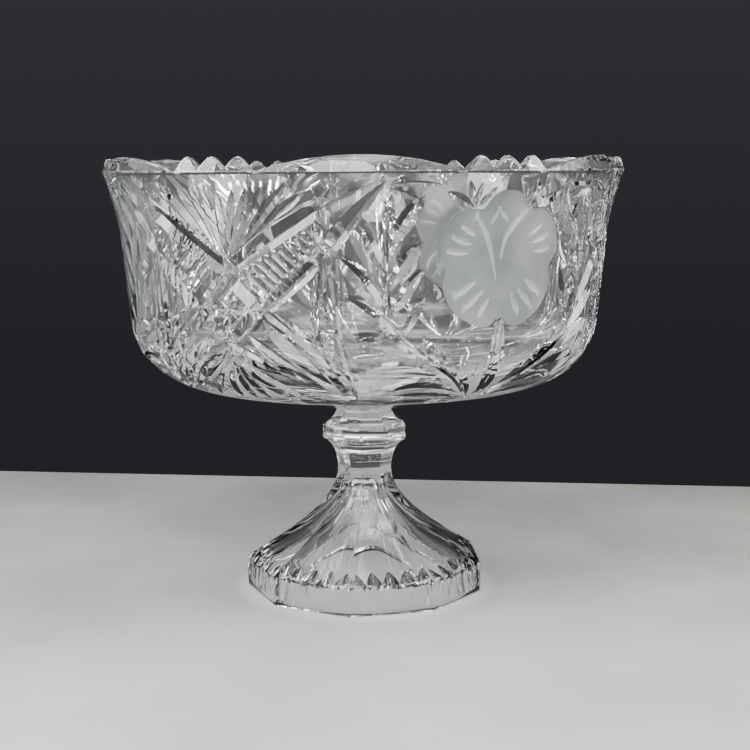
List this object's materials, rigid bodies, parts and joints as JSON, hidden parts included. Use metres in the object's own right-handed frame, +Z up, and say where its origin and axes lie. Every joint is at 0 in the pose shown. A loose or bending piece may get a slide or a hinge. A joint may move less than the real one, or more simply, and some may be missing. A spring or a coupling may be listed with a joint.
{
  "type": "punch bowl",
  "caption": "Cut-crystal pedestal punch bowl: round flared bowl with a scalloped and toothed rim, bonded to a faceted, knopped stem and hollow bell foot.",
  "frame": {"origin": "on the bowl's axis, in the plane that the foot stands on", "axes": "+Z up along the bowl's axis; -Y is the front, at the middle of a rim scallop between a cross-cut panel and a flower panel"},
  "size_m": [0.2544, 0.2544, 0.2165],
  "materials": {
    "cut_crystal": "clear polished crystal with wheel-cut mitres, leaves and star, and acid-frosted flowers",
    "pressed_crystal": "clear fire-polished crystal with flat facets and cut notches",
    "clear_adhesive": "clear cured adhesive film"
  },
  "bodies": {
    "root": {"bowl": "cut_crystal", "pedestal": "pressed_crystal", "bond_film": "clear_adhesive"}
  },
  "joints": []
}
